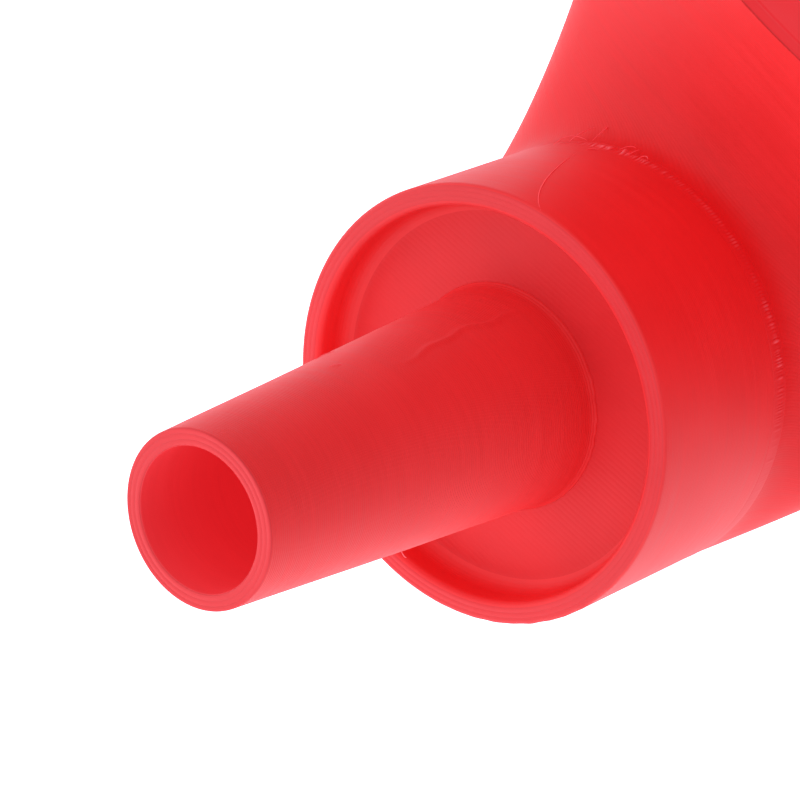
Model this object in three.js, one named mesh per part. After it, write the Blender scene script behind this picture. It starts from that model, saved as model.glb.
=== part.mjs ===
// Elbow funnel: a tapered spout wedged in a collar, and a flaring bowl that bends up from the collar.
// Millimetres, +Z up. The spout runs along -X, the mouth faces +Z, and the origin is on the spout's
// axis in the plane of the recess floor, where the end of a filler neck meets the collar.
import * as THREE from 'three';

const GAP = 0.3;
const SEGMENTS = 48;

// Spout: a tube of even wall that widens towards the collar and wedges in the floor's tapered hole.
const SPOUT_REACH = 33.9;
const SPOUT_TIP_RADIUS = 6.37;
const SPOUT_TAPER = 0.058;
const SPOUT_WALL = 1.24;
const TIP_CHAMFER = 0.15;

// Collar: a straight sleeve with a floor across it; the skirt in front of the floor caps a filler neck.
const COLLAR_RADIUS = 16.5;
const COLLAR_WALL = 1.7;
const SKIRT_DEPTH = 3.0;
const FLOOR_THICKNESS = 2.0;
const COLLAR_END = 11.1;
const RIM_CHAMFER = 0.25;

// Bead: the weld of melted plastic between the collar's end and the bowl's start.
const BEAD_WIDTH = 0.7;
const BEAD_OUTER = 16.75;
const BEAD_INNER = 15.1;

// Bowl: round sections strung on a bent centre line, each one wider and more tilted than the last.
const BOWL_START = COLLAR_END + GAP + BEAD_WIDTH + GAP;
const BEND_CONTROL = 10.9;
const MOUTH_RADIUS = 32.3;
const MOUTH_CENTRE_X = 17.5;
const MOUTH_HEIGHT = 46.5;
const BOWL_WALL = 1.5;
const TILT_POWER = 1.79;
const FLARE_POWER = 1.84;
const BOWL_SECTIONS = 14;
const BOWL_SIDES = 32;
const LIP_START = 0.75;

const RED = '#dc2528';

function plastic(name, color, roughness) {
  return new THREE.MeshStandardMaterial({ name, color, roughness, metalness: 0 });
}

// Turns a closed outline of [x, radius] points about the X axis.
function turned(outline) {
  const points = outline.map(([x, radius]) => new THREE.Vector2(radius, x));
  points.push(points[0].clone());
  const geometry = new THREE.LatheGeometry(points, SEGMENTS);
  geometry.rotateZ(-Math.PI / 2);
  return geometry;
}

function spoutRadius(x) {
  return SPOUT_TIP_RADIUS + SPOUT_TAPER * (x + SPOUT_REACH);
}

function spoutGeometry() {
  const tip = -SPOUT_REACH;
  const end = FLOOR_THICKNESS;
  return turned([
    [tip, spoutRadius(tip) - SPOUT_WALL],
    [tip, spoutRadius(tip) - TIP_CHAMFER],
    [tip + TIP_CHAMFER, spoutRadius(tip)],
    [end, spoutRadius(end)],
    [end, spoutRadius(end) - SPOUT_WALL],
  ]);
}

function collarGeometry() {
  const inner = COLLAR_RADIUS - COLLAR_WALL;
  return turned([
    [0, spoutRadius(0) + GAP],
    [0, inner],
    [-SKIRT_DEPTH, inner],
    [-SKIRT_DEPTH, COLLAR_RADIUS - RIM_CHAMFER],
    [-SKIRT_DEPTH + RIM_CHAMFER, COLLAR_RADIUS],
    [COLLAR_END, COLLAR_RADIUS],
    [COLLAR_END, inner],
    [FLOOR_THICKNESS, inner],
    [FLOOR_THICKNESS, spoutRadius(FLOOR_THICKNESS) + GAP],
  ]);
}

function beadGeometry() {
  const start = COLLAR_END + GAP;
  const end = start + BEAD_WIDTH;
  const edge = 0.15;
  return turned([
    [start, BEAD_INNER],
    [start, BEAD_OUTER - edge],
    [start + edge, BEAD_OUTER],
    [end - edge, BEAD_OUTER],
    [end, BEAD_OUTER - edge],
    [end, BEAD_INNER],
  ]);
}

// Centre line of the bowl: it leaves the collar along the spout's axis and ends under the mouth.
function bowlCentreLine() {
  return new THREE.QuadraticBezierCurve3(
    new THREE.Vector3(BOWL_START, 0, 0),
    new THREE.Vector3(BOWL_START + BEND_CONTROL, 0, 0),
    new THREE.Vector3(MOUTH_CENTRE_X, 0, MOUTH_HEIGHT),
  );
}

// A point of the outer face: at fraction w of the centre line, and at an angle round the section.
function bowlPoint(centreLine, w, angle) {
  const tilt = (Math.PI / 2) * w ** TILT_POWER;
  const radius = COLLAR_RADIUS + (MOUTH_RADIUS - COLLAR_RADIUS) * w ** FLARE_POWER;
  return centreLine.getPoint(w).addScaledVector(sectionDirection(tilt, angle), radius);
}

// The direction out of a tilted section, at an angle from its upper side.
function sectionDirection(tilt, angle) {
  const upper = Math.cos(angle);
  return new THREE.Vector3(-Math.sin(tilt) * upper, Math.sin(angle), Math.cos(tilt) * upper);
}

// Square to the outer face, from the steps between nearby points along it and round it.
function bowlNormal(centreLine, w, angle) {
  const step = 0.001;
  const before = Math.max(0, w - step);
  const after = Math.min(1, w + step);
  const along = bowlPoint(centreLine, after, angle).sub(bowlPoint(centreLine, before, angle));
  const round = bowlPoint(centreLine, w, angle + step).sub(bowlPoint(centreLine, w, angle - step));
  return along.cross(round).normalize();
}

// The inner face lies one wall inside the outer one. Towards the mouth it leans over to lie level
// with the outer face's edge, so that the wall ends in the flat rim.
function bowlInnerPoint(centreLine, w, angle) {
  const lean = THREE.MathUtils.smoothstep(w, LIP_START, 1);
  const level = sectionDirection(Math.PI / 2 * w ** TILT_POWER, angle);
  const inward = bowlNormal(centreLine, w, angle).lerp(level, lean);
  const point = bowlPoint(centreLine, w, angle).addScaledVector(inward, -BOWL_WALL);
  point.z = Math.min(point.z, MOUTH_HEIGHT);
  return point;
}

function ring(pointAt) {
  return Array.from({ length: BOWL_SIDES }, (_, i) => pointAt((2 * Math.PI * i) / BOWL_SIDES));
}

// Closed skin over a loop of rings: each ring joins the next, and the last joins the first.
function skin(rings) {
  const positions = rings.flat().flatMap((point) => [point.x, point.y, point.z]);
  const index = [];
  rings.forEach((_, r) => {
    const here = r * BOWL_SIDES;
    const next = ((r + 1) % rings.length) * BOWL_SIDES;
    for (let i = 0; i < BOWL_SIDES; i += 1) {
      const j = (i + 1) % BOWL_SIDES;
      index.push(here + i, here + j, next + j);
      index.push(here + i, next + j, next + i);
    }
  });
  const geometry = new THREE.BufferGeometry();
  geometry.setAttribute('position', new THREE.Float32BufferAttribute(positions, 3));
  geometry.setIndex(index);
  geometry.computeVertexNormals();
  return geometry;
}

function bowlGeometry() {
  const centreLine = bowlCentreLine();
  const fractions = Array.from({ length: BOWL_SECTIONS + 1 }, (_, i) => i / BOWL_SECTIONS);
  const outside = fractions.map((w) => ring((angle) => bowlPoint(centreLine, w, angle)));
  const inside = fractions.map((w) => ring((angle) => bowlInnerPoint(centreLine, w, angle)));
  return skin([...inside, ...outside.reverse()]);
}

function addPiece(group, name, geometry, material) {
  const mesh = new THREE.Mesh(geometry, material);
  mesh.name = name;
  group.add(mesh);
}

const funnel = new THREE.Group();
addPiece(funnel, 'spout_tube', spoutGeometry(), plastic('spout', RED, 0.42));
addPiece(funnel, 'collar_cup', collarGeometry(), plastic('collar', RED, 0.42));
addPiece(funnel, 'seam_bead', beadGeometry(), plastic('bead', '#e0484a', 0.5));
addPiece(funnel, 'bowl_shell', bowlGeometry(), plastic('bowl', RED, 0.42));

export default funnel;
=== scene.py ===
"""The looks of a 3-D printed elbow funnel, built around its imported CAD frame.

Metres, +Z up. The spout runs along -X from the collar, the mouth of the bowl faces +Z, and the
origin is on the spout's axis in the plane of the recess floor.
"""

import bpy
import numpy as np
from mathutils import Matrix, Vector


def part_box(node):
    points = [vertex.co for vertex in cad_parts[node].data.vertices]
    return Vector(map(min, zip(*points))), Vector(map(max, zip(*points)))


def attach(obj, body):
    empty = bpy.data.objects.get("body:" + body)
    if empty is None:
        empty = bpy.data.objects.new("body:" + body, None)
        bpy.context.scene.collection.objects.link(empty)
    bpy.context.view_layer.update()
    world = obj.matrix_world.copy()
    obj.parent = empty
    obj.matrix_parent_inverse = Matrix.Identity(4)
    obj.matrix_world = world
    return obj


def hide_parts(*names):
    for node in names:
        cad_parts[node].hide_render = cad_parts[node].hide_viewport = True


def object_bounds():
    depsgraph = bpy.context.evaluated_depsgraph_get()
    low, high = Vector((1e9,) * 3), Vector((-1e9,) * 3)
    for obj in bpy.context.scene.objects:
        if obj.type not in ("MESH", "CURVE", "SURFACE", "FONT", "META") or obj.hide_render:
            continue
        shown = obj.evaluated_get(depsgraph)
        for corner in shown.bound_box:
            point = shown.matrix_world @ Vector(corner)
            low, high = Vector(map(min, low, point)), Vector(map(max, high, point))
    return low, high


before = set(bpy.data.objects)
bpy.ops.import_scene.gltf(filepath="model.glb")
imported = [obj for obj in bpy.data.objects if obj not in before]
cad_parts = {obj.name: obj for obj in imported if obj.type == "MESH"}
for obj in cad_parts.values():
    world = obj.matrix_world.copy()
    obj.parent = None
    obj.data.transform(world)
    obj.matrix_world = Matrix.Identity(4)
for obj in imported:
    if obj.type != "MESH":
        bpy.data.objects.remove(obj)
cad_low, cad_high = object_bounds()
scene = bpy.context.scene

# --- Camera -----------------------------------------------------------------------------------
# A long lens in front of the spout's tip and above it. It is rolled, so that the spout points
# down to the left and only the start of the bowl is in view.
CAMERA_FROM_TIP = Vector((-0.18569, -0.07037, 0.17126))
CAMERA_BACK = Vector((-0.7486, -0.2602, 0.6098)).normalized()
CAMERA_UP = Vector((0.2445, 0.7466, 0.6187))
LENS_MM = 176.85

spout_low, spout_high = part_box("spout_tube")
camera_right = CAMERA_UP.cross(CAMERA_BACK).normalized()
turn = Matrix((camera_right, CAMERA_BACK.cross(camera_right), CAMERA_BACK)).transposed()
camera = bpy.data.objects.new("camera", bpy.data.cameras.new("camera"))
camera_place = Vector((spout_low.x, 0, 0)) + CAMERA_FROM_TIP
camera.matrix_world = Matrix.Translation(camera_place) @ turn.to_4x4()
camera.data.lens = LENS_MM
camera.data.sensor_width = 36.0
camera.data.clip_start = 0.01
camera.data.clip_end = 50.0
scene.collection.objects.link(camera)
scene.camera = camera


# --- Floor, air and lights --------------------------------------------------------------------
# A pale glowing floor well under the funnel, white air round it, and two soft boxes: one in front
# of the spout, to its +Y side and above it, and a larger, weaker one overhead.
def linear(code):
    """An sRGB hex colour as linear RGBA: each channel's power curve is undone, with its straight
    stretch near black."""
    share = np.array([int(code[i : i + 2], 16) / 255 for i in (0, 2, 4)])
    value = np.where(share <= 0.04045, share / 12.92, ((share + 0.055) / 1.055) ** 2.4)
    return (*value.tolist(), 1.0)


def add_node(tree, kind, inputs, **settings):
    """Adds one shader node, gives it its settings, and fills or links its inputs, which are given
    by name or number."""
    made = tree.nodes.new("ShaderNode" + kind)
    for name, value in settings.items():
        setattr(made, name, value)
    for name, value in inputs.items():
        if isinstance(value, bpy.types.NodeSocket):
            tree.links.new(value, made.inputs[name])
        else:
            made.inputs[name].default_value = value
    return made


def new_material(name):
    """A node material with nothing in its tree yet, and that tree."""
    material = bpy.data.materials.new(name)
    material.use_nodes = True
    material.node_tree.nodes.clear()
    return material, material.node_tree


FLOOR_DROP = 0.09
FLOOR_HALF = 4.0
FLOOR_GLOW = 1.3
AIR_STRENGTH = 0.78
COOL_WHITE = "e9e9f4"

floor_mesh = bpy.data.meshes.new("floor")
floor_z = cad_low.z - FLOOR_DROP
floor_mesh.from_pydata(
    [(x, y, floor_z) for x, y in ((-1, -1), (1, -1), (1, 1), (-1, 1))], [], [(0, 1, 2, 3)]
)
floor_mesh.transform(Matrix.Diagonal((FLOOR_HALF, FLOOR_HALF, 1, 1)))
floor = bpy.data.objects.new("floor", floor_mesh)
scene.collection.objects.link(floor)

sweep, tree = new_material("white_sweep")
shader = add_node(
    tree,
    "BsdfPrincipled",
    {
        "Base Color": linear("f4f4f4"),
        "Roughness": 0.9,
        "Specular IOR Level": 0.0,
        "Emission Color": linear(COOL_WHITE),
        "Emission Strength": FLOOR_GLOW,
    },
)
add_node(tree, "OutputMaterial", {"Surface": shader.outputs["BSDF"]})
floor_mesh.materials.append(sweep)

world = bpy.data.worlds.new("white_air")
world.use_nodes = True
air = world.node_tree.nodes["Background"]
air.inputs["Color"].default_value = linear(COOL_WHITE)
air.inputs["Strength"].default_value = AIR_STRENGTH
scene.world = world


def soft_box(name, place, side, power):
    """A square area light that faces the origin, with its side in metres and its power in watts."""
    lamp = bpy.data.lights.new(name, "AREA")
    lamp.shape = "SQUARE"
    lamp.size = side
    lamp.energy = power
    box = bpy.data.objects.new(name, lamp)
    box.location = place
    box.rotation_euler = Vector(place).to_track_quat("Z", "Y").to_euler()
    scene.collection.objects.link(box)


soft_box("key_box", (-0.45, 0.55, 0.55), 0.6, 0.8)
soft_box("top_box", (0.1, 0.1, 0.9), 0.7, 0.3)
scene.view_settings.view_transform = "Standard"

# --- Spout tube -------------------------------------------------------------------------------
# A tapered tube printed upright in red plastic, so its 0.2 mm layers are rings square to its axis.
# Its tip shows three concentric beads, and a thin scar runs along its upper side.
MM = 0.001
LAYER = 0.2 * MM
BEAD = 0.4 * MM
SPOUT_TIP_RADIUS = 6.37 * MM
SPOUT_TAPER = 0.058
SPOUT_WALL = 1.24 * MM
TIP_ROUNDING = 0.12 * MM
END_ROUNDING = 0.1 * MM
SPOUT_SPACING = 0.2 * MM
SPOUT_SIDES = 240
ARC_POINTS = 7


def rounded_outline(corners, spacing):
    """A closed outline of [x, radius] points from corners of [x, radius, rounding]. Each corner
    turns on an arc that touches both its sides, and straight stretches are split to the spacing."""
    corners = np.array(corners)
    places = corners[:, :2]
    before = np.roll(places, 1, axis=0) - places
    after = np.roll(places, -1, axis=0) - places
    before /= np.linalg.norm(before, axis=1, keepdims=True)
    after /= np.linalg.norm(after, axis=1, keepdims=True)
    half = np.arccos(np.clip((before * after).sum(axis=1), -1, 1)) / 2
    reach = corners[:, 2] / np.tan(half)
    middle = (before + after) / np.linalg.norm(before + after, axis=1, keepdims=True)
    centre = places + middle * (corners[:, 2] / np.sin(half))[:, None]
    starts = places + before * reach[:, None]
    ends = places + after * reach[:, None]
    share = np.linspace(0, 1, ARC_POINTS)[:, None]
    stretches = []
    for i in range(len(corners)):
        sweep_angle = np.pi - 2 * half[i]
        from_centre = np.sin((1 - share) * sweep_angle) * (starts[i] - centre[i])
        to_centre = np.sin(share * sweep_angle) * (ends[i] - centre[i])
        stretches.append(centre[i] + (from_centre + to_centre) / np.sin(sweep_angle))
        following = starts[(i + 1) % len(corners)]
        steps = max(2, int(np.ceil(np.linalg.norm(following - ends[i]) / spacing)))
        stretches.append(ends[i] + (following - ends[i]) * np.linspace(0, 1, steps + 1)[1:-1, None])
    return np.concatenate(stretches)


def turned_rings(outline, sides):
    """Rings of points about the X axis, one for each outline point, and the angle of each point:
    zero is +Z and a quarter turn is +Y."""
    angle = np.arange(sides) * (2 * np.pi / sides)
    x = np.repeat(outline[:, :1], sides, axis=1)
    radius = np.repeat(outline[:, 1:], sides, axis=1)
    return np.stack([x, radius * np.sin(angle), radius * np.cos(angle)], axis=-1), angle


def skinned_piece(name, rings, zones, materials):
    """A piece from a closed loop of closed rings, each point joined to the next point and to the
    next ring. Zones gives the material number of each ring."""
    count, sides = rings.shape[:2]
    index = np.arange(count * sides).reshape(count, sides)
    beside = np.roll(index, -1, axis=1)
    faces = np.stack(
        [index, np.roll(index, -1, axis=0), np.roll(beside, -1, axis=0), beside], axis=-1
    ).reshape(-1, 4)
    mesh = bpy.data.meshes.new(name)
    mesh.vertices.add(count * sides)
    mesh.vertices.foreach_set("co", rings.astype(np.float32).ravel())
    mesh.loops.add(faces.size)
    mesh.loops.foreach_set("vertex_index", faces.astype(np.int32).ravel())
    mesh.polygons.add(len(faces))
    mesh.polygons.foreach_set("loop_start", np.arange(0, faces.size, 4, dtype=np.int32))
    mesh.update(calc_edges=True)
    for material in materials:
        mesh.materials.append(material)
    mesh.polygons.foreach_set("material_index", np.repeat(zones, sides).astype(np.int32))
    mesh.polygons.foreach_set("use_smooth", np.ones(len(faces), bool))
    mesh.validate()
    piece = bpy.data.objects.new(name, mesh)
    scene.collection.objects.link(piece)
    return piece


# The marks that printing leaves: fine streaks along the strands, faint clouds of deeper red, and a
# grain. The heights are shares of the height of a strand, and each strand's own height is random.
STREAK_WIDTH = 0.35 * MM
STREAK_LENGTH = 9 * MM
CLOUD_SIZE = 7 * MM
GRAIN_SIZE = 0.5 * MM
STRAND_CHANCE = 0.35
STREAK_HEIGHT = 0.25
GRAIN_HEIGHT = 0.2
MOTTLE_LOW = 0.75
MOTTLE_HIGH = 1.25
STREAK_LOW = 0.3
STREAK_HIGH = 0.7
SMOOTHER = 0.03
ROUGHER = 0.05
RASTER_DIRECTION = (0, 0.17, 0.985)
# The red of the painted glow: emission that stands in for light coming through the thin walls.
PAINTED_GLOW_RED = "e02c36"
PLASTIC_IOR = 1.46


def printed_plastic(
    name, strands, bright, deep, relief=0.006 * MM, roughness=0.55, shine=0.42, painted_glow=0.0
):
    """Red PLA printed in fine strands, which give it broad and streaky highlights. Strands says how
    they lie: stacked_x and stacked_z are layers along that axis, rings are beads round the X axis,
    and raster is parallel beads across the floor. The height across a strand is the root of a
    ramp up and down, which makes its top blunt."""
    material, tree = new_material(name)
    place = add_node(tree, "TexCoord", {}).outputs["Object"]
    axes = add_node(tree, "SeparateXYZ", {"Vector": place}).outputs
    across, pitch = axes["X"], LAYER
    fine, long = 1 / STREAK_WIDTH, 1 / STREAK_LENGTH
    stretch = (fine, long, long)
    if strands == "stacked_z":
        across = axes["Z"]
        stretch = (long, long, fine)
    if strands == "rings":
        flat = add_node(tree, "VectorMath", {0: place, 1: (0, 1, 1)}, operation="MULTIPLY")
        length = add_node(tree, "VectorMath", {0: flat.outputs[0]}, operation="LENGTH")
        across, pitch = length.outputs["Value"], BEAD
    if strands == "raster":
        sideways = add_node(
            tree, "VectorMath", {0: place, 1: RASTER_DIRECTION}, operation="DOT_PRODUCT"
        )
        across, pitch = sideways.outputs["Value"], BEAD
    turns = add_node(tree, "Math", {0: across, 1: 1 / pitch}, operation="MULTIPLY").outputs[0]
    ramps = add_node(tree, "Math", {0: turns, 1: 0.5}, operation="PINGPONG").outputs[0]
    blunt_top = add_node(tree, "Math", {0: ramps, 1: 0.5}, operation="POWER").outputs[0]
    number = add_node(tree, "Math", {0: turns}, operation="FLOOR").outputs[0]
    chance = add_node(tree, "TexWhiteNoise", {"W": number}, noise_dimensions="1D").outputs["Value"]
    stretched = add_node(tree, "Mapping", {"Vector": place, "Scale": stretch}).outputs["Vector"]
    streak = {"Vector": stretched, "Scale": 1.0, "Detail": 3.0}
    streaks = add_node(tree, "TexNoise", streak).outputs[0]
    cloud = {"Vector": place, "Scale": 1 / CLOUD_SIZE, "Detail": 2.0}
    clouds = add_node(tree, "TexNoise", cloud).outputs[0]
    grit = {"Vector": place, "Scale": 1 / GRAIN_SIZE, "Detail": 2.0}
    grain = add_node(tree, "TexNoise", grit).outputs[0]
    height = blunt_top
    for mark, share in ((chance, STRAND_CHANCE), (streaks, STREAK_HEIGHT), (grain, GRAIN_HEIGHT)):
        taller = add_node(tree, "Math", {0: mark, 1: share, 2: height}, operation="MULTIPLY_ADD")
        height = taller.outputs[0]
    bump = add_node(tree, "Bump", {"Height": height, "Distance": relief, "Strength": 1.0})
    mottle = add_node(tree, "Math", {0: clouds, 1: streaks}, operation="ADD").outputs[0]
    mottle = add_node(
        tree, "MapRange", {"Value": mottle, "From Min": MOTTLE_LOW, "From Max": MOTTLE_HIGH}
    )
    colour = add_node(
        tree,
        "Mix",
        {"Factor": mottle.outputs["Result"], 6: linear(deep), 7: linear(bright)},
        data_type="RGBA",
    )
    rough = add_node(
        tree,
        "MapRange",
        {
            "Value": streaks,
            "From Min": STREAK_LOW,
            "From Max": STREAK_HIGH,
            "To Min": roughness - SMOOTHER,
            "To Max": roughness + ROUGHER,
        },
    )
    shader = add_node(
        tree,
        "BsdfPrincipled",
        {
            "Base Color": colour.outputs[2],
            "Roughness": rough.outputs["Result"],
            "IOR": PLASTIC_IOR,
            "Normal": bump.outputs["Normal"],
            "Specular IOR Level": shine,
            # The painted glow: emission in the plastic's red, standing in for light through thin
            # walls.
            "Emission Color": linear(PAINTED_GLOW_RED),
            "Emission Strength": painted_glow,
        },
    )
    add_node(tree, "OutputMaterial", {"Surface": shader.outputs["BSDF"]})
    return material


layers_along_spout = printed_plastic(
    "plastic_layers_along_spout", "stacked_x", "f53234", "ef2d2f", relief=0.035 * MM
)
# Light comes through the thin wall, so the bore is never dark: this is painted, as its own base
# colour and a faint glow of the plastic's red.
bore_painted_glow = printed_plastic(
    "plastic_bore_painted_glow", "stacked_x", "dc4044", "d63a3e", painted_glow=0.28
)
concentric_beads = printed_plastic(
    "plastic_concentric_beads", "rings", "e43034", "de2c30", relief=0.05 * MM
)


def spout_outline(tip_x, end_x):
    """The tube's section: the outer side up the taper, the end in the hole, and the bore back to
    the tip. The radius grows with the distance from the tip by the taper."""
    outer_end = SPOUT_TIP_RADIUS + SPOUT_TAPER * (end_x - tip_x)
    return [
        [tip_x, SPOUT_TIP_RADIUS, TIP_ROUNDING],
        [end_x, outer_end, END_ROUNDING],
        [end_x, outer_end - SPOUT_WALL, END_ROUNDING],
        [tip_x, SPOUT_TIP_RADIUS - SPOUT_WALL, TIP_ROUNDING],
    ]


outline = rounded_outline(spout_outline(spout_low.x, spout_high.x), SPOUT_SPACING)
rings, angle = turned_rings(outline, SPOUT_SIDES)
x, radius = outline[:, :1], outline[:, 1:]
INSIDE_WALL = 0.3 * MM
outer_side = radius > SPOUT_TIP_RADIUS - INSIDE_WALL + SPOUT_TAPER * (x - spout_low.x)

# The scar: a low wavering ridge along the upper side, which fades in and out near both its ends.
SCAR_ANGLE = np.radians(19.0)
SCAR_WIDTH = 0.2 * MM
SCAR_HEIGHT = 0.16 * MM
SCAR_CENTRE = -8.5 * MM
SCAR_HALF_LENGTH = 6 * MM
SCAR_WAVERS = ((0.03, 1.9 * MM), (0.02, 0.7 * MM))
scar_line = SCAR_ANGLE
for swing, length in SCAR_WAVERS:
    scar_line = scar_line + swing * np.sin(x / length)
aside = (angle - scar_line) * radius / SCAR_WIDTH
fade = np.exp(-(((x - SCAR_CENTRE) / SCAR_HALF_LENGTH) ** 4))
lift = SCAR_HEIGHT * fade * np.exp(-(aside**2))
# Unevenness: the wall wanders by a few hundredths of a millimetre round and along the tube.
SPOUT_WANDER = 0.015 * MM
lift += SPOUT_WANDER * np.sin(3 * angle + x / (4 * MM))
# The root: melted plastic fills the corner with the recess floor in a small fillet, lumpy on one
# side. It grows by a cube over the last of the tube, and goes on into the floor before it ends.
ROOT_FILLET = 0.3 * MM
FILLET_LENGTH = 0.9 * MM
FILLET_SINK = 0.2 * MM
FILLET_END = 0.25 * MM
LUMPY_ANGLE = 5.5
LUMPY_SPREAD = 0.5
lumpy_side = np.exp(-(((angle - LUMPY_ANGLE) / LUMPY_SPREAD) ** 2))
coarse_lumps = 0.3 * lumpy_side * np.sin(37 * angle) * np.sin(17 * angle + 1)
lumpy = 1 + coarse_lumps + 0.03 * np.sin(51 * angle + 2)
before_floor = np.clip(-x / FILLET_LENGTH, 0, 1)
in_hole = np.clip((x - FILLET_SINK) / FILLET_END, 0, 1)
lift += ROOT_FILLET * (1 - before_floor) ** 3 * (1 - in_hole) * lumpy
rings[..., 1:] *= (1 + lift * outer_side / radius)[..., None]

TIP_FACE_DEPTH = 0.06 * MM
at_tip = outline[:, 0] < spout_low.x + TIP_FACE_DEPTH
in_bore = ~outer_side[:, 0] & ~at_tip
spout = skinned_piece(
    "spout_tube_printed",
    rings,
    at_tip * 1 + in_bore * 2,
    [layers_along_spout, concentric_beads, bore_painted_glow],
)
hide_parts("spout_tube")
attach(spout, "root")

# --- Collar cup -------------------------------------------------------------------------------
# A straight sleeve printed on end: its rim is laid in concentric beads, its walls are layers, and
# its recess floor is filled with a raster of parallel beads round the hole that takes the spout.
COLLAR_RADIUS = 16.5 * MM
COLLAR_WALL = 1.7 * MM
FLOOR_THICKNESS = 2.0 * MM
HOLE_GAP = 0.03 * MM
RIM_OUTER_ROUNDING = 0.3 * MM
RIM_INNER_ROUNDING = 0.55 * MM
RECESS_FILLET = 1.2 * MM
BARREL_FILLET = 0.3 * MM
HOLE_ROUNDING = 0.02 * MM
COLLAR_SPACING = 0.35 * MM
COLLAR_SIDES = 320

collar_low, collar_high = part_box("collar_cup")
layers_along_collar = printed_plastic(
    "plastic_layers_along_collar", "stacked_x", "f03133", "ea2c2e", relief=0.01 * MM
)
floor_raster = printed_plastic(
    "plastic_floor_raster",
    "raster",
    "e62c2f",
    "e0282b",
    relief=0.015 * MM,
    roughness=0.5,
    shine=0.28,
)


def collar_outline(rim_x, end_x):
    """The sleeve's section, in order: outer side, end at the bowl, barrel, back of the floor, hole,
    floor, skirt and rim. The hole is wider than the spout by its gap, and tapers with it."""
    inner = COLLAR_RADIUS - COLLAR_WALL
    hole = SPOUT_TIP_RADIUS - SPOUT_TAPER * spout_low.x + HOLE_GAP
    hole_back = hole + SPOUT_TAPER * FLOOR_THICKNESS
    return [
        [rim_x, COLLAR_RADIUS, RIM_OUTER_ROUNDING],
        [end_x, COLLAR_RADIUS, END_ROUNDING],
        [end_x, inner, END_ROUNDING],
        [FLOOR_THICKNESS, inner, BARREL_FILLET],
        [FLOOR_THICKNESS, hole_back, END_ROUNDING],
        [0.0, hole, HOLE_ROUNDING],
        [0.0, inner, RECESS_FILLET],
        [rim_x, inner, RIM_INNER_ROUNDING],
    ]


outline = rounded_outline(collar_outline(collar_low.x, collar_high.x), COLLAR_SPACING)
rings, angle = turned_rings(outline, COLLAR_SIDES)
x, radius = outline[:, :1], outline[:, 1:]

# The sleeve wanders by a few hundredths of a millimetre, and its rim is a little ragged on one
# side.
SLEEVE_WANDER = 0.02 * MM
OUTER_SKIN = 0.4 * MM
RAGGED_HEIGHT = 0.03 * MM
RAGGED_DEPTH = 0.3 * MM
RAGGED_ANGLE = 4.3
RAGGED_SPREAD = 0.5


def sleeve_wander(angle):
    """How far the sleeve stands out from its radius at an angle: two slow swells round it."""
    return SLEEVE_WANDER * np.sin(2 * angle + 0.6)


wander = sleeve_wander(angle) * (radius > COLLAR_RADIUS - OUTER_SKIN)
ragged = RAGGED_HEIGHT * (np.sin(37 * angle) + np.sin(61 * angle + 1.3))
ragged = ragged * np.exp(-(((angle - RAGGED_ANGLE) / RAGGED_SPREAD) ** 2))
near_rim = np.exp(-(((x - collar_low.x) / RAGGED_DEPTH) ** 2)) * (radius > COLLAR_RADIUS - MM)
rings[..., 1:] *= (1 + (ragged * near_rim + wander) / radius)[..., None]

RIM_FACE_DEPTH = 0.04 * MM
FLOOR_FACE_DEPTH = 0.01 * MM
on_rim = outline[:, 0] < collar_low.x + RIM_FACE_DEPTH
inside_sleeve = outline[:, 1] < COLLAR_RADIUS - COLLAR_WALL
on_floor = (np.abs(outline[:, 0]) < FLOOR_FACE_DEPTH) & inside_sleeve
collar = skinned_piece(
    "collar_cup_printed",
    rings,
    on_rim * 1 + on_floor * 2,
    [layers_along_collar, concentric_beads, floor_raster],
)
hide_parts("collar_cup")
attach(collar, "root")

# --- Bowl shell -------------------------------------------------------------------------------
# A flaring elbow printed mouth down, so its layers lie level, parallel to the mouth's rim, and show
# as terraces where the wall leans. It turns the flow from the level mouth into the collar.
BEND_CONTROL = 10.9 * MM
MOUTH_RADIUS = 32.3 * MM
MOUTH_CENTRE_X = 17.5 * MM
BOWL_WALL = 1.5 * MM
WELD_GAP = 0.3 * MM
TILT_POWER = 1.79
FLARE_POWER = 1.84
LIP_START = 0.75
RIM_DROP = 0.05 * MM
RIM_STEPS = 9
BOWL_STEPS = 130
EVEN_STEPS_TO = 0.985
CLOSE_STEPS = (0.99, 0.994, 0.997)
BOWL_SIDES = 320

mouth_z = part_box("bowl_shell")[1].z
bead_low, bead_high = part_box("seam_bead")
bowl_start = bead_high.x + WELD_GAP
layers_across_bowl = printed_plastic(
    "plastic_layers_across_bowl", "stacked_z", "ea2c2e", "e42829", relief=0.01 * MM, shine=0.25
)
# A painted glow of the plastic's red, over darker base colours, stands in for the light through the
# thin wall that lifts the mouth's rim and the bowl's inner side.
mouth_beads_painted_glow = printed_plastic(
    "plastic_mouth_painted_glow",
    "rings",
    "d41012",
    "ce0e10",
    relief=0.02 * MM,
    shine=0.25,
    painted_glow=0.44,
)
bowl_inner_painted_glow = printed_plastic(
    "plastic_bowl_inside_painted_glow", "stacked_z", "d41012", "ce0e10", shine=0.2, painted_glow=0.48
)


def bowl_outside(along, angle):
    """Round sections strung on a bent centre line, a curve with one control point. Each is wider
    and more tilted than the last, by powers of its place from 0 at the collar to 1 at the mouth."""
    start = np.array([bowl_start, 0, 0])
    control = np.array([bowl_start + BEND_CONTROL, 0, 0])
    mouth = np.array([MOUTH_CENTRE_X, 0, mouth_z])
    centre = (1 - along) ** 2 * start + 2 * along * (1 - along) * control + along**2 * mouth
    radius = COLLAR_RADIUS + (MOUTH_RADIUS - COLLAR_RADIUS) * along**FLARE_POWER
    return centre + radius * section_direction(along, angle)


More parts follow.
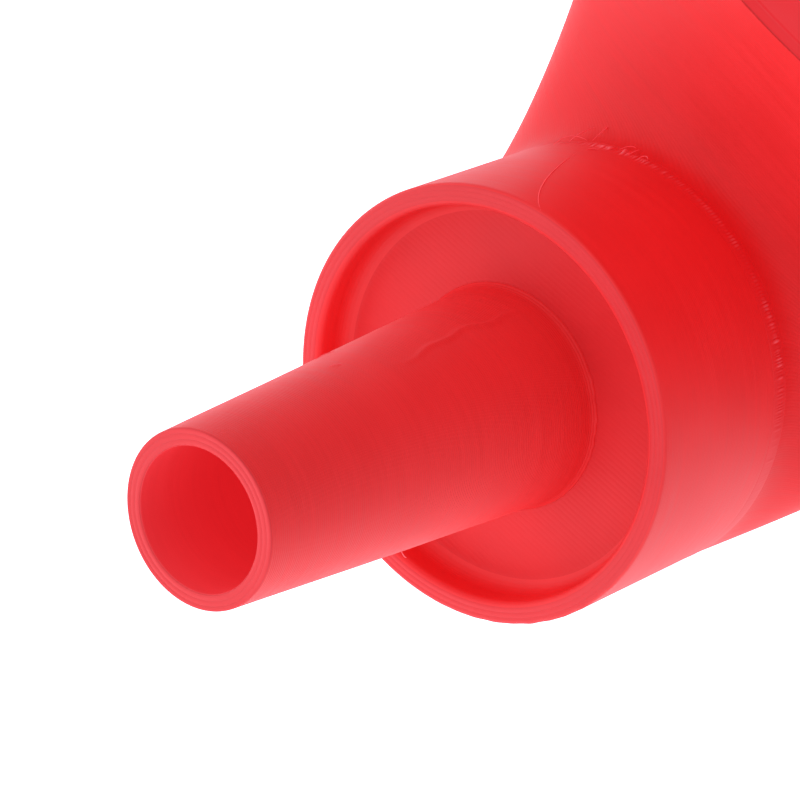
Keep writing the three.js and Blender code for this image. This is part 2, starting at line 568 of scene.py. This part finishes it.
def section_direction(along, angle):
    """The unit direction out of a tilted section, at an angle from its upper side: the cosine of
    the upper side's direction and the sine of +Y."""
    tilt = np.pi / 2 * along**TILT_POWER
    upward = np.concatenate([-np.sin(tilt), 0 * tilt, np.cos(tilt)], axis=-1)
    return np.cos(angle) * upward + np.sin(angle) * np.array([0, 1, 0])


def bowl_inside(along, angle):
    """One wall inside the outer face, square to it, from the cross product of small steps along it
    and round it. Towards the mouth it leans over to lie level, and it stops at the rim's plane."""
    step = 1e-4
    after = bowl_outside(np.minimum(along + step, 1), angle)
    forward = after - bowl_outside(np.maximum(along - step, 0), angle)
    around = bowl_outside(along, angle + step) - bowl_outside(along, angle - step)
    square = np.cross(forward, around)
    square /= np.linalg.norm(square, axis=-1, keepdims=True)
    near_lip = np.clip((along - LIP_START) / (1 - LIP_START), 0, 1)
    lean = near_lip**2 * (3 - 2 * near_lip)
    outward = square + (section_direction(along, angle) - square) * lean
    inner = bowl_outside(along, angle) - BOWL_WALL * outward
    inner[..., 2] = np.minimum(inner[..., 2], mouth_z)
    return inner


angle = (np.arange(BOWL_SIDES) * (2 * np.pi / BOWL_SIDES))[None, :, None]
# The sections are evenly spaced along the bowl, and closer together at the lip.
steps = np.append(np.linspace(0, EVEN_STEPS_TO, BOWL_STEPS), CLOSE_STEPS)[:, None, None]
across = np.linspace(0, 1, RIM_STEPS)[:, None, None]
lip, root = np.ones((1, 1, 1)), np.zeros((1, 1, 1))
# The rim is flat between two soft edges, which drop by the sixth power of the way out to them.
rim = bowl_outside(lip, angle) * (1 - across) + bowl_inside(lip, angle) * across
rim[..., 2:] -= RIM_DROP * np.abs(2 * across - 1) ** 6
between = across[1:-1]
start_face = bowl_inside(root, angle) * (1 - between) + bowl_outside(root, angle) * between
rings = [bowl_outside(steps, angle), rim, bowl_inside(steps[::-1], angle), start_face]
zones = np.zeros(sum(map(len, rings)))
zones[len(steps) : -len(start_face)] = 2
zones[len(steps) : len(steps) + RIM_STEPS - 1] = 1
bowl = skinned_piece(
    "bowl_shell_printed",
    np.concatenate(rings),
    zones,
    [layers_across_bowl, mouth_beads_painted_glow, bowl_inner_painted_glow],
)
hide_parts("bowl_shell")
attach(bowl, "root")

# --- Seam bead --------------------------------------------------------------------------------
# The weld between collar and bowl: plastic melted by hand all the way round, so it is a row of
# small overlapping blobs that wanders a little and stands just proud of both walls.
SEAM_SIDES = 3000
CROWN_POINTS = 10
DAB_COUNT = 380
WELD_HALF_WIDTH = 0.95 * MM
CROWN_HALF_WIDTH = 0.36
WELD_DEPTH = 0.9 * MM
WELD_PROUD = 0.008 * MM
EDGE_DROP = 0.02 * MM
WELD_DRIFT = 0.1 * MM
DAB_HEIGHT = 0.1 * MM
LUMP_HEIGHT = 0.11 * MM
SKIN_HEIGHT = 0.008 * MM
# Stretches of the weld, each as its middle and its width in degrees from +Z towards +Y.
NEAT_STRETCH = (-16, 22)
ROUGH_STRETCH = (31, 16)
ROUGH_PATCH = (-42, 12)

seam_centre = (bead_low.x + bead_high.x) / 2
rng = np.random.default_rng(7)


def ripple(angle, orders, power, rng):
    """A wavy sum round the seam: one sine for each order, with a random phase and a size that falls
    by a power of the order, scaled to an even strength."""
    phases = rng.uniform(0, 2 * np.pi, len(orders))
    sizes = np.array(orders, float) ** -power
    waves = np.sin(np.outer(angle, orders) + phases) @ sizes
    return waves / np.sqrt((sizes**2).sum() / 2)


def near(angle, middle, width):
    """A bell-shaped weight of an angle, round a middle and with a width in degrees, that wraps
    round the seam."""
    apart = np.angle(np.exp(1j * (angle - np.radians(middle))))
    return np.exp(-((apart / np.radians(width)) ** 2))


angle = np.arange(SEAM_SIDES) * (2 * np.pi / SEAM_SIDES)
# Neat dabs on the side where the iron was drawn along, rough lumps near the top, and a nearly
# flush weld underneath.
neat = near(angle, *NEAT_STRETCH)
rough = near(angle, *ROUGH_STRETCH) + 0.5 * near(angle, *ROUGH_PATCH)
unsteady = 0.8 * ripple(angle, [3, 5, 8, 13, 21], 0.5, rng)
dabs = np.abs(np.sin(angle * DAB_COUNT / 2 + unsteady))
lumps = np.abs(ripple(angle, range(40, 300, 11), 0.2, rng))
drift = WELD_DRIFT * ripple(angle, [1, 2, 3, 5, 9, 14], 0.7, rng)
patchy = np.clip(0.55 + 0.45 * ripple(angle, range(9, 60, 7), 0.3, rng), 0.3, 1.3)
crown = DAB_HEIGHT * neat * dabs * patchy + (LUMP_HEIGHT * rough + SKIN_HEIGHT) * lumps
# The section: a low bell over the joint that ends a little under both walls, and an under side.
# At its collar side the weld follows the sleeve's wander.
ridge = np.linspace(-1, 1, CROWN_POINTS)[:, None]
bell = np.exp(-((ridge / CROWN_HALF_WIDTH) ** 2))
top_r = COLLAR_RADIUS + WELD_PROUD + crown * bell - EDGE_DROP * ridge**4
top_r = top_r + sleeve_wander(angle) * (1 - ridge) / 2
under = np.array([0.8, 0.3, -0.3, -0.8])[:, None]
under_r = np.full((len(under), SEAM_SIDES), COLLAR_RADIUS - WELD_DEPTH)
ring_x = seam_centre + drift + WELD_HALF_WIDTH * np.concatenate([ridge, under])
ring_r = np.concatenate([top_r, under_r])
rings = np.stack([ring_x, ring_r * np.sin(angle), ring_r * np.cos(angle)], axis=-1)


LUMP_SIZE = 0.6 * MM
SPECK_SIZE = 0.45 * MM
SKIN_RELIEF = 0.008 * MM
PALE_FROM = 0.03 * MM
PALE_TO = 0.13 * MM


def welded_plastic(name):
    """The same red PLA after melting: a lumpy skin, and paler towards the tops of the dabs,
    by their height over the collar."""
    material, tree = new_material(name)
    place = add_node(tree, "TexCoord", {}).outputs["Object"]
    flat = add_node(tree, "VectorMath", {0: place, 1: (0, 1, 1)}, operation="MULTIPLY")
    reach = add_node(tree, "VectorMath", {0: flat.outputs[0]}, operation="LENGTH").outputs["Value"]
    lumps = add_node(tree, "TexNoise", {"Vector": place, "Scale": 1 / LUMP_SIZE, "Detail": 3.0})
    specks = add_node(tree, "TexVoronoi", {"Vector": place, "Scale": 1 / SPECK_SIZE})
    height = add_node(
        tree,
        "Math",
        {0: specks.outputs["Distance"], 1: 0.4, 2: lumps.outputs[0]},
        operation="MULTIPLY_ADD",
    ).outputs[0]
    bump = add_node(tree, "Bump", {"Height": height, "Distance": SKIN_RELIEF, "Strength": 0.8})
    pale_from, pale_to = COLLAR_RADIUS + PALE_FROM, COLLAR_RADIUS + PALE_TO
    stretched = add_node(
        tree, "MapRange", {"Value": reach, "From Min": pale_from, "From Max": pale_to}
    ).outputs["Result"]
    colour = add_node(
        tree,
        "Mix",
        {"Factor": stretched, 6: linear("ea2d30"), 7: linear("f6636a")},
        data_type="RGBA",
    )
    shader = add_node(
        tree,
        "BsdfPrincipled",
        {
            "Base Color": colour.outputs[2],
            "Roughness": 0.55,
            "Specular IOR Level": 0.42,
            "IOR": PLASTIC_IOR,
            "Normal": bump.outputs["Normal"],
        },
    )
    add_node(tree, "OutputMaterial", {"Surface": shader.outputs["BSDF"]})
    return material


seam = skinned_piece(
    "seam_bead_welded", rings, np.zeros(len(rings)), [welded_plastic("plastic_weld")]
)
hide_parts("seam_bead")
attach(seam, "root")

# --- Print hairs ------------------------------------------------------------------------------
# Fine strings of plastic left when the nozzle moved away: some cling to the collar and the weld, a
# few to the spout. Each is a thin round thread, bent once and thinner towards its ends.
HAIR_RADIUS = 0.034 * MM
HAIR_POINTS = 15
HAIR_TAPER = 0.6
# Start, middle and end of each hair, as distance along the axis in millimetres, angle round it in
# degrees from +Z towards +Y, and distance out from it in millimetres.
HAIRS = (
    ((-2.8, 20.0, 16.5), (-0.6, 30.0, 16.6), (9.6, 39.5, 16.5)),
    ((10.0, 38.6, 16.5), (10.6, 38.0, 16.64), (10.8, 36.4, 16.5)),
    ((11.0, 51.5, 16.5), (12.6, 50.0, 17.3), (12.4, 44.0, 16.6)),
    ((11.8, 48.5, 16.5), (12.3, 47.0, 17.1), (14.2, 46.0, 17.2)),
    ((12.6, 42.8, 16.6), (14.8, 41.5, 17.6), (15.6, 43.0, 17.5)),
    ((12.0, 33.0, 16.5), (12.8, 31.5, 16.9), (12.9, 30.0, 16.7)),
    ((11.2, 29.0, 16.5), (12.2, 28.2, 16.9), (12.8, 28.6, 16.7)),
    ((11.9, 26.5, 16.5), (12.4, 25.0, 16.9), (12.0, 24.0, 16.6)),
    ((-17.9, 63.0, 7.28), (-16.9, 62.0, 7.5), (-16.2, 59.0, 7.39)),
    ((-19.9, 40.0, 7.16), (-19.3, 39.0, 7.36), (-18.9, 36.0, 7.22)),
    ((-18.0, -101.0, 7.26), (-17.4, -106.0, 7.9), (-16.8, -108.0, 7.9)),
)

hair_curve = bpy.data.curves.new("print_hairs", "CURVE")
hair_curve.dimensions = "3D"
hair_curve.bevel_depth = HAIR_RADIUS
hair_curve.bevel_resolution = 2
hair_curve.use_fill_caps = True
share = np.linspace(0, 1, HAIR_POINTS)[:, None]
for start, middle, end in np.array(HAIRS):
    # The bend is a parabola: the square of what is left, twice the product, and the square so far.
    bend = (1 - share) ** 2 * start + 2 * share * (1 - share) * middle + share**2 * end
    angle = np.radians(bend[:, 1])
    thread = np.stack([bend[:, 0], bend[:, 2] * np.sin(angle), bend[:, 2] * np.cos(angle)], axis=-1)
    spline = hair_curve.splines.new("POLY")
    spline.points.add(HAIR_POINTS - 1)
    weight = np.ones((HAIR_POINTS, 1))
    spline.points.foreach_set("co", np.append(thread * MM, weight, axis=1).ravel())
    spline.points.foreach_set("radius", (1 - HAIR_TAPER * (2 * share - 1) ** 2).ravel())
hair_mesh = bpy.data.meshes.new_from_object(bpy.data.objects.new("hair_curve", hair_curve))
hair_mesh.materials.clear()
# The same plastic drawn out thin, so it is paler; a painted glow stands in for the light it lets
# through.
hair_mesh.materials.append(
    printed_plastic("plastic_pale_hair_painted_glow", "stacked_x", "f4626a", "ee565e", painted_glow=0.2)
)
hair_mesh.shade_smooth()
hairs = bpy.data.objects.new("print_hairs", hair_mesh)
scene.collection.objects.link(hairs)
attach(hairs, "root")
